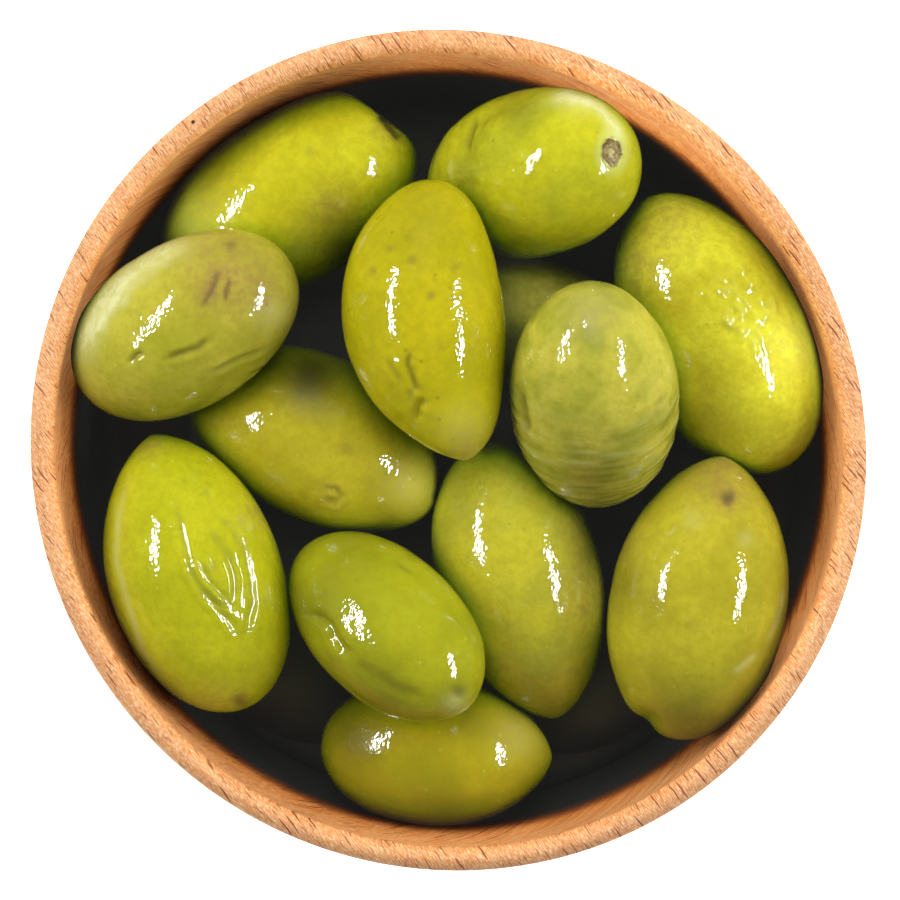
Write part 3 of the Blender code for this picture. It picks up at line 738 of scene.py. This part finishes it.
def oliveSkin(name, look, seed):
    material, tree, skin = newMaterial(name)
    offset = (seed * 17.3, seed * 5.1, seed * 9.7)
    mottle = useGroup(tree, skinMottle, {"Offset": offset, "Blotch Size": look.get("blotch", 7.0)})
    relief = useGroup(tree, skinRelief, {"Offset": offset, "Fine": 0.031, "Ripple": 0.045})
    shadeFrom, shadeTo = look.get("shade", heap["shade"])
    light = useGroup(tree, heapShade, {"Dark": shadeFrom, "Full": shadeTo, "Least": 0.05})
    marksAndShading = addNode(tree, "ShaderNodeAttribute", attribute_name="marksAndShading")
    brown, pale, dark = addNode(tree, "ShaderNodeSeparateColor", {0: marksAndShading.outputs["Color"]}).outputs
    ragged = ramp(tree, mottle["Cloud"], 0.0, 1.0, 0.65, 1.15)
    colour = mixColour(tree, mottle["Blotch"], srgb(*look["skin"]), srgb(*look["second"]))
    colour = mixColour(tree, times(tree, mottle["Cloud"], 0.34), colour, srgb(150, 140, 20))
    colour = mixColour(tree, times(tree, mottle["Pores"], 0.18), colour, srgb(222, 214, 110))
    specks = times(tree, mottle["Specks"], look.get("specks", 0.2))
    colour = mixColour(tree, specks, colour, srgb(122, 104, 26))
    for mark, tone in ((brown, srgb(150, 122, 66)), (pale, srgb(212, 212, 150))):
        strength = maths(tree, "MULTIPLY", mark, ragged, clamp=True)
        colour = mixColour(tree, strength, colour, tone)
    # painted shade: the dark channel of the spots and grooves
    colour = mixColour(tree, dark, colour, srgb(60, 60, 20))
    height = relief["Height"]
    if "stemScar" in look:
        colour, height = paintScar(tree, colour, height, look)
    bare = colour
    # painted shade: greener, then near black, where the skin sees little sky or lies low in the heap
    openness = times(tree, marksAndShading.outputs["Alpha"], light["Light"])
    greened = tinted(tree, colour, heap["shadeTint"])
    colour = mixColour(tree, ramp(tree, openness, 0.10, 0.60), greened, colour)
    colour = mixColour(tree, ramp(tree, openness, 0.0, 0.30), srgb(24, 25, 18), colour)
    gloss = maths(tree, "ADD", times(tree, dark, 0.3), 0.05, clamp=True)
    gloss = ramp(tree, openness, 0.02, 0.20, 0.8, gloss)
    # painted light: a faint glow from the darkest skin, and a glow at each listed glow spot
    sent = mixColour(tree, ramp(tree, openness, 0.0, 0.25), gapPaintedGlow, (0, 0, 0, 1))
    for x, y, reach, strength in look.get("lit", ()):
        spot = (look["at"][0] + x, look["at"][1] + y, 0)
        off = vectors(tree, "DISTANCE", onPlan(tree), spot)["Value"]
        glow = times(tree, ramp(tree, off, reach, 0.0, 0.0, strength), ramp(tree, openness, 0.08, 0.3))
        sent = mixColour(tree, glow, sent, bare)
    bump = addNode(tree, "ShaderNodeBump", {"Height": height, "Distance": 0.001, "Strength": 1.0})
    feed(tree, skin, {"Base Color": colour, "Roughness": gloss, "IOR": 1.5, "Emission Color": sent,
                      "Emission Strength": 1.0, "Normal": bump.outputs[0]})
    material.cycles.emission_sampling = "NONE"    # far too faint to light anything
    return material


def oliveAxes(form):
    turn, lift = math.radians(form["turn"]), math.radians(form["lift"])
    forward = np.array((math.cos(turn) * math.cos(lift), math.sin(turn) * math.cos(lift), math.sin(lift)))
    side = np.array((-math.sin(turn), math.cos(turn), 0.0))
    return forward, side, np.cross(forward, side)


# pulls what would cut into the bowl's wall back to it
def offTheWall(points):
    squeeze = np.linalg.inv(ovalTurn())
    flat = points[:, :2] @ squeeze.T
    reach = np.linalg.norm(flat, axis=1)
    most = wallRadius(points[:, 2], heap["wallGap"])
    flat *= np.minimum(1, most / np.maximum(reach, 1e-6))[:, None]
    return np.column_stack([flat @ ovalTurn().T, points[:, 2]])


# points of one olive in millimetres: its stem end, the rings, its tip
def oliveSurface(form, rings, sides):
    forward, side, up = oliveAxes(form)
    along = -np.cos(np.linspace(0, math.pi, rings + 1))
    blunt = form.get("blunt", heap["stemBluntness"])
    girth = np.where(along > 0, (1 - np.clip(along, 0, 1) ** 2) ** form["tip"],
                     np.sqrt(np.clip(1 - np.abs(along) ** blunt, 0, 1)))
    spin = np.linspace(0, 2 * math.pi, sides, endpoint=False)
    spin = spin + heap["topCrowding"] * np.cos(spin)
    radius = form["width"] / 2
    lengthwise = np.repeat(along, sides)
    around = np.tile(spin, rings + 1)
    reach = radius * np.repeat(girth, sides)
    points = (np.array(form["at"]) + np.outer(lengthwise * form["length"] / 2, forward)
              + np.outer(reach * np.cos(around) + form.get("bow", 0) * (1 - lengthwise**2), side)
              + np.outer(reach * np.sin(around), up))
    return points, lengthwise


def gridNormals(points, rows, sides, axis):
    grid = points.reshape(rows, sides, 3)
    around = np.roll(grid, -1, axis=1) - np.roll(grid, 1, axis=1)
    along = np.empty_like(grid)
    along[1:-1] = grid[2:] - grid[:-2]
    along[0], along[-1] = along[1], along[-2]
    normals = np.cross(along, around)
    normals[0], normals[-1] = -axis, axis
    length = np.linalg.norm(normals, axis=2, keepdims=True)
    normals = normals / np.maximum(length, 1e-9)
    outward = np.sum(normals[rows // 2] * (grid[rows // 2] - grid[rows // 2].mean(axis=0))) > 0
    normals[1:-1] *= 1 if outward else -1
    return normals.reshape(-1, 3)


# a plain copy of the heap and the bowl, only to find what each spot of skin can see of the sky
def makeShelter():
    points, faces, count = [], [], 0
    for look in [*upperOlives.values(), *({**lowerLook, **place} for place in lowerOlives.values())]:
        plain, _ = oliveSurface(look, 24, 24)
        points.append(offTheWall(plain))
        faces += ringFaces(25, 24, count)
        count += len(plain)
    profile = bowlProfile()[::4]
    spin = np.linspace(0, 2 * math.pi, 72, endpoint=False)
    wall = [((r * np.cos(spin)), (r * np.sin(spin)), np.full(72, z)) for r, z, _ in profile]
    points.append(np.concatenate([np.stack(row, axis=1) for row in wall]))
    faces += ringFaces(len(profile), 72, count)
    return BVHTree.FromPolygons(np.vstack(points).tolist(), faces)


def skyDirections():
    count = heap["skyRays"]
    turns = math.pi * (3 - math.sqrt(5))
    directions = []
    for step in range(count):
        height = (step + 0.5) / count
        reach = math.sqrt(1 - height * height)
        directions.append(Vector((math.cos(turns * step) * reach, math.sin(turns * step) * reach, height)))
    return directions


# how open each point lies to the sky, 0 in a gap and 1 in the open, found on a coarse grid and blended
def openSky(points, normals, rings, sides, closed=True, every=6):
    rows, columns = np.arange(0, rings + 1, every), np.arange(0, sides, every)
    pickPoints = points.reshape(rings + 1, sides, 3)[rows][:, columns]
    pickNormals = normals.reshape(rings + 1, sides, 3)[rows][:, columns]
    found = np.zeros((len(rows), len(columns)))
    for index in np.ndindex(*found.shape):
        normal = Vector(pickNormals[index])
        start = Vector(pickPoints[index]) + normal * 0.5
        seen = total = 0.0
        for direction in sky:
            weight = normal.dot(direction)
            if weight > 0:
                total += weight
                if shelter.ray_cast(start, direction, heap["skyReach"])[0] is None:
                    seen += weight
        found[index] = seen / max(total, 1.0)
    if closed:
        found[0] = found[0].mean()
        found[-1] = found[-1].mean()
    found = (np.roll(found, 1, axis=1) + 2 * found + np.roll(found, -1, axis=1)) / 4
    padded = np.vstack([found[:1], found, found[-1:]])
    blurred = (padded[:-2] + 2 * padded[1:-1] + padded[2:]) / 4
    tall = np.stack([np.interp(np.arange(rings + 1), rows, column) for column in blurred.T], axis=1)
    tall = np.hstack([tall, tall[:, :1]])
    columns = np.append(columns, sides)
    return np.stack([np.interp(np.arange(sides), columns, row) for row in tall]).ravel()


# the olive's points with its flats, lumps, creases and spots, and its colour channels with painted shade
def shapeOlive(form, rings, sides, seed):
    points, lengthwise = oliveSurface(form, rings, sides)
    forward, _, _ = oliveAxes(form)
    middle = np.array(form["at"])
    for normal, distance in form.get("flats", ()):
        normal = np.array(normal) / np.linalg.norm(normal)
        over = (points - middle) @ normal - distance
        points -= np.outer((over + np.sqrt(over**2 + heap["flatSoftness"] ** 2)) / 2, normal)
    normals = gridNormals(points, rings + 1, sides, forward)
    ends = 1 - np.abs(lengthwise) ** 8
    rise = heap["lumpDepth"] * lumps(points, heap["lumpSize"], seed) + heap["rippleDepth"] * lumps(
        points, heap["rippleSize"], seed + 100) * ends
    flat = points[:, :2] - middle[:2]
    facing = smooth(normals[:, 2], -0.05, 0.2)
    marksAndShading = np.zeros((len(points), 4))
    marksAndShading[:, 3] = 1
    for kind, width, *paths in form.get("strokes", ()):
        depth, shoulder, *paint = strokeKinds[kind]
        for path in paths:
            gap, along = alongPath(flat, path)
            gap = gap * (1 + 0.25 * lumps(points, 0.9, seed + 7))
            taper = np.clip(np.minimum(along, 1 - along) / 0.18, 0.15, 1) * facing
            inside = np.exp(-((gap / width) ** 2)) * taper
            beside = np.exp(-(((gap - 2.1 * width) / (1.2 * width)) ** 2)) * taper
            scale = width / 0.4 if kind == "fold" else 1
            rise += scale * (shoulder * beside - depth * inside)
            marksAndShading[:, :3] += np.outer(inside, paint)
    for kind, x, y, radius, strength in form.get("spots", ()):
        depth, *paint = spotKinds[kind]
        gap = np.linalg.norm(flat - (x, y), axis=1)
        where = np.exp(-((gap / radius) ** 2)) * (1 if kind == "dent" else facing) * strength
        rise -= depth * where
        marksAndShading[:, :3] += np.outer(where, paint)
    for x, y in form.get("blisters", ()):
        gap = np.linalg.norm(flat - (x, y), axis=1) * (1 + 0.3 * lumps(points, 1.1, seed + 31))
        dome, ring = np.exp(-((gap / 0.62) ** 2)), np.exp(-(((gap - 1.2) / 0.4) ** 2))
        rise += facing * (0.25 * dome - 0.05 * ring)
    if "wrinkled" in form:
        start, end, depth = form["wrinkled"]
        inFrame = (points - middle) @ np.stack(oliveAxes(form), axis=1) / (0.6, 4.0, 4.0)
        folds = lumps(inFrame, 1.0, seed + 55) + 0.6 * lumps(inFrame * (2.1, 1.7, 1.7), 1.0, seed + 56)
        where = smooth(lengthwise, start, start + 0.2) * (1 - smooth(lengthwise, end - 0.6, end))
        rise += depth * folds * where
        # painted shade darkens the grooves of the folds, and the crests are painted paler
        marksAndShading[:, 2] += 0.16 * np.clip(-folds, 0, 1) * where
        marksAndShading[:, 1] += 0.34 * np.clip(folds, 0, 1) * where
    points = points + normals * rise[:, None]
    marksAndShading[:, :3] = np.clip(marksAndShading[:, :3], 0, 1)
    marksAndShading[:, 3] = openSky(points, normals, rings, sides)
    return offTheWall(points), marksAndShading


# one point at each end instead of a ring of them
def closeEnds(points, marksAndShading, rings, sides):
    inner = slice(sides, rings * sides)
    ends = [points[:sides].mean(axis=0), points[-sides:].mean(axis=0)]
    endMarks = [marksAndShading[:sides].mean(axis=0), marksAndShading[-sides:].mean(axis=0)]
    count = (rings - 1) * sides
    faces = closedRings(rings - 1, sides, count, count + 1)
    return np.vstack([points[inner], ends]), np.vstack([marksAndShading[inner], endMarks]), faces


def settle(piece):
    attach(piece, "root")
    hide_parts("olives")
    return piece


def makeUpperOlives():
    made = []
    for seed, (name, look) in enumerate(upperOlives.items(), start=1):
        points, marksAndShading = shapeOlive(look, heap["rings"], heap["sides"], seed)
        points, marksAndShading, faces = closeEnds(points, marksAndShading, heap["rings"], heap["sides"])
        skin = oliveSkin(name + "Skin", look, seed)
        made.append(settle(newPiece(name, points * mm, faces, skin, marksAndShading)))
    print("upper olives:", len(made))
    return made


def makeLowerOlives():
    allPoints, allMarks, allFaces, count = [], [], [], 0
    for seed, place in enumerate(lowerOlives.values(), start=40):
        form = {**lowerLook, **place}
        points, marksAndShading = shapeOlive(form, heap["lowerRings"], heap["lowerSides"], seed)
        points, marksAndShading, faces = closeEnds(points, marksAndShading, heap["lowerRings"], heap["lowerSides"])
        allPoints.append(points)
        allMarks.append(marksAndShading)
        allFaces += [tuple(corner + count for corner in face) for face in faces]
        count += len(points)
    skin = oliveSkin("lowerSkin", lowerLook, 40)
    piece = newPiece("lowerOlives", np.vstack(allPoints) * mm, allFaces, skin, np.vstack(allMarks))
    print("lower olives:", len(lowerOlives))
    return settle(piece)


# painted shade: one dark mass standing in for the shadow deeper than the eye reaches, with a faint painted
# glow
def makeCore():
    sides, steps, crownSteps = 120, 24, 20
    rows = []
    lowest = bowl["floorHeight"] + heap["wallGap"]
    for step in range(steps):
        height = lowest + (heap["coreEdge"] - lowest) * step / (steps - 1)
        rows.append((float(wallRadius(np.array(height), heap["wallGap"])), height))
    edgeRadius = rows[-1][0]
    for step in range(1, crownSteps):
        share = 1 - step / crownSteps
        drop = (heap["coreCrown"] - heap["coreEdge"]) * share * share
        rows.append((edgeRadius * share, heap["coreCrown"] - drop))
    radius, height = (np.repeat(column, sides) for column in np.array(rows).T)
    spin = np.tile(np.linspace(0, 2 * math.pi, sides, endpoint=False), len(rows))
    flat = np.stack([radius * np.cos(spin), radius * np.sin(spin)], axis=1) @ ovalTurn().T
    points = np.column_stack([flat, height])
    upper = smooth(height, heap["coreEdge"] - 0.5, heap["coreEdge"] + 2)
    points[:, 2] += upper * (0.9 * lumps(points, 7.0, 71) + 0.25 * lumps(points, 2.5, 72) - 0.9)
    points = np.vstack([points, (0, 0, rows[0][1]), (0, 0, heap["coreCrown"] - 0.9)])
    faces = closedRings(len(rows), sides, len(points) - 2, len(points) - 1)
    material, tree, body = newMaterial("paintedShadeCore")
    cloud = noise(tree, millimetres(tree), 0.25, 3.0, 0.6)
    murk = mixColour(tree, ramp(tree, cloud, 0.4, 0.7), gapShadeBlack, srgb(44, 46, 38))
    feed(tree, body, {"Base Color": murk, "Roughness": ramp(tree, cloud, 0.3, 0.7, 0.45, 0.65),
                      "Specular IOR Level": 0.1, "Emission Color": gapPaintedGlow, "Emission Strength": 1.0})
    material.cycles.emission_sampling = "NONE"
    return settle(newPiece("heapShadeCore", points * mm, faces, material))


# beads of brine on the skins: some where the photograph shows a glint, the rest strewn
def makeBrineDrops():
    rings, sides = 5, 12
    strewn = np.random.default_rng(5)
    places = list(heap["drops"])
    for _ in range(heap["strayDrops"]):
        turn, reach = strewn.uniform(0, 2 * math.pi), 40 * math.sqrt(strewn.uniform(0, 1))
        places.append((reach * math.cos(turn), reach * math.sin(turn)))
    allPoints, faces, count = [], [], 0
    for x, y in places:
        hits = [piece.ray_cast(Vector((x * mm, y * mm, 0.1)), Vector((0, 0, -1))) for piece in shown]
        hits = [hit for hit in hits if hit[0]]
        if not hits:
            continue
        _, spot, normal, _ = max(hits, key=lambda hit: hit[1].z)
        radius = strewn.uniform(*heap["dropRadius"])
        frameOf = np.array(normal.to_track_quat("Z", "Y").to_matrix())
        for ring in range(rings):
            rise = ring / rings * math.pi / 2
            wide, tall = math.cos(rise), 0.5 * math.sin(rise)
            for side in range(sides):
                spin = 2 * math.pi * side / sides
                local = np.array((wide * math.cos(spin), wide * math.sin(spin), tall))
                allPoints.append(np.array(spot) / mm + frameOf @ (local * radius))
        allPoints.append(np.array(spot) / mm + frameOf @ np.array((0, 0, 0.5 * radius)))
        faces += ringFaces(rings, sides, count)
        top = len(allPoints) - 1
        last = count + (rings - 1) * sides
        faces += [(last + side, last + (side + 1) % sides, top) for side in range(sides)]
        count = len(allPoints)
    brine, tree, body = newMaterial("brine")
    feed(tree, body, {"Transmission Weight": 1.0, "IOR": 1.34, "Roughness": 0.02})
    print("brine drops:", len(allPoints) // (rings * sides + 1))
    return settle(newPiece("brineDrops", np.array(allPoints) * mm, faces, brine))


shelter = makeShelter()
sky = skyDirections()
makeBowl()
makeTornFibres()
print("bowl turned")
makeCore()
makeLowerOlives()
shown = makeUpperOlives()
bpy.context.view_layer.update()
makeBrineDrops()


# Floor, light and camera

studio = {
    "photoMiddle": (0.19, 0.0), "cameraHeight": 900.0, "widthSeen": 109.22, "sensor": 36.0,   # mm
    "floorSize": 4.0, "floorColour": srgb(250, 250, 250), "floorGlow": 0.6, "glossFill": 0.10,
    "fillFront": 0.10, "fillBack": 0.55,       # the room is brighter beyond the top of the picture
}
# metres from the rim's middle, width, length and brightness of the face; strips show only as glints
panels = {
    "leftStrip": ((-0.51, 0.11, 0.48), 0.036, 0.38, 115.0, True),
    "rightStrip": ((0.54, -0.02, 0.45), 0.036, 0.38, 115.0, True),
    "leftGlow": ((-0.68, 0.05, 0.44), 0.5, 0.5, 4.4, False),
    "rightGlow": ((0.72, 0.02, 0.36), 0.5, 0.5, 5.2, False),
    "backGlow": ((0.0, 0.50, 0.64), 0.6, 0.5, 4.2, False),
}


def makeFloor():
    size = studio["floorSize"] / 2
    mesh = bpy.data.meshes.new("floor")
    corners = [(-size, -size, 0), (size, -size, 0), (size, size, 0), (-size, size, 0)]
    mesh.from_pydata(corners, [], [(0, 1, 2, 3)])
    floor = bpy.data.objects.new("floor", mesh)
    bpy.context.scene.collection.objects.link(floor)
    material, tree, paint = newMaterial("paleFloor")
    feed(tree, paint, {"Base Color": studio["floorColour"], "Roughness": 0.9, "Specular IOR Level": 0.0,
                       "Emission Color": (1, 1, 1, 1), "Emission Strength": studio["floorGlow"]})
    mesh.materials.append(material)
    floor.visible_glossy = False


# a soft panel aimed at the dish; glare is the brightness of its face
def panelLight(name, place, width, length, glare, glint):
    lamp = bpy.data.lights.new(name, "AREA")
    lamp.shape = "RECTANGLE"
    lamp.size = length                          # runs up the picture
    lamp.size_y = width
    lamp.energy = glare * math.pi * width * length
    panel = bpy.data.objects.new(name, lamp)
    bpy.context.scene.collection.objects.link(panel)
    panel.location = Vector(place) + Vector((0, 0, rimTop))
    panel.rotation_euler = (Vector((0, 0, rimTop)) - panel.location).to_track_quat("-Z", "Y").to_euler()
    panel.visible_camera = False
    panel.visible_glossy = glint
    panel.visible_diffuse = not glint
    return panel


def makeLights():
    for name, settings in panels.items():
        panelLight(name, *settings)
    world = bpy.data.worlds.new("studio")
    bpy.context.scene.world = world
    world.use_nodes = True
    tree = world.node_tree
    air = tree.nodes["Background"]
    air.inputs["Color"].default_value = (1, 1, 1, 1)
    path = addNode(tree, "ShaderNodeLightPath")
    toward = addNode(tree, "ShaderNodeTexCoord").outputs["Generated"]
    back = addNode(tree, "ShaderNodeSeparateXYZ", {0: toward}).outputs[1]
    fill = ramp(tree, back, -0.7, 0.7, studio["fillFront"], studio["fillBack"])
    feeds = {0: path.outputs["Is Glossy Ray"], 2: fill, 3: studio["glossFill"]}
    seen = addNode(tree, "ShaderNodeMix", feeds).outputs[0]
    seen = maths(tree, "MAXIMUM", seen, path.outputs["Is Camera Ray"])
    tree.links.new(seen, air.inputs["Strength"])


def makeCamera():
    lens = bpy.data.cameras.new("photoCamera")
    lens.sensor_width = studio["sensor"]
    lens.lens = studio["sensor"] * studio["cameraHeight"] / studio["widthSeen"]
    lens.clip_start, lens.clip_end = 0.01, 20
    camera = bpy.data.objects.new("photoCamera", lens)
    bpy.context.scene.collection.objects.link(camera)
    x, y = studio["photoMiddle"]
    camera.location = (x * mm, y * mm, rimTop + studio["cameraHeight"] * mm)
    bpy.context.scene.camera = camera


makeFloor()
makeLights()
makeCamera()
bpy.context.scene.view_settings.view_transform = "Standard"
print("stage set")
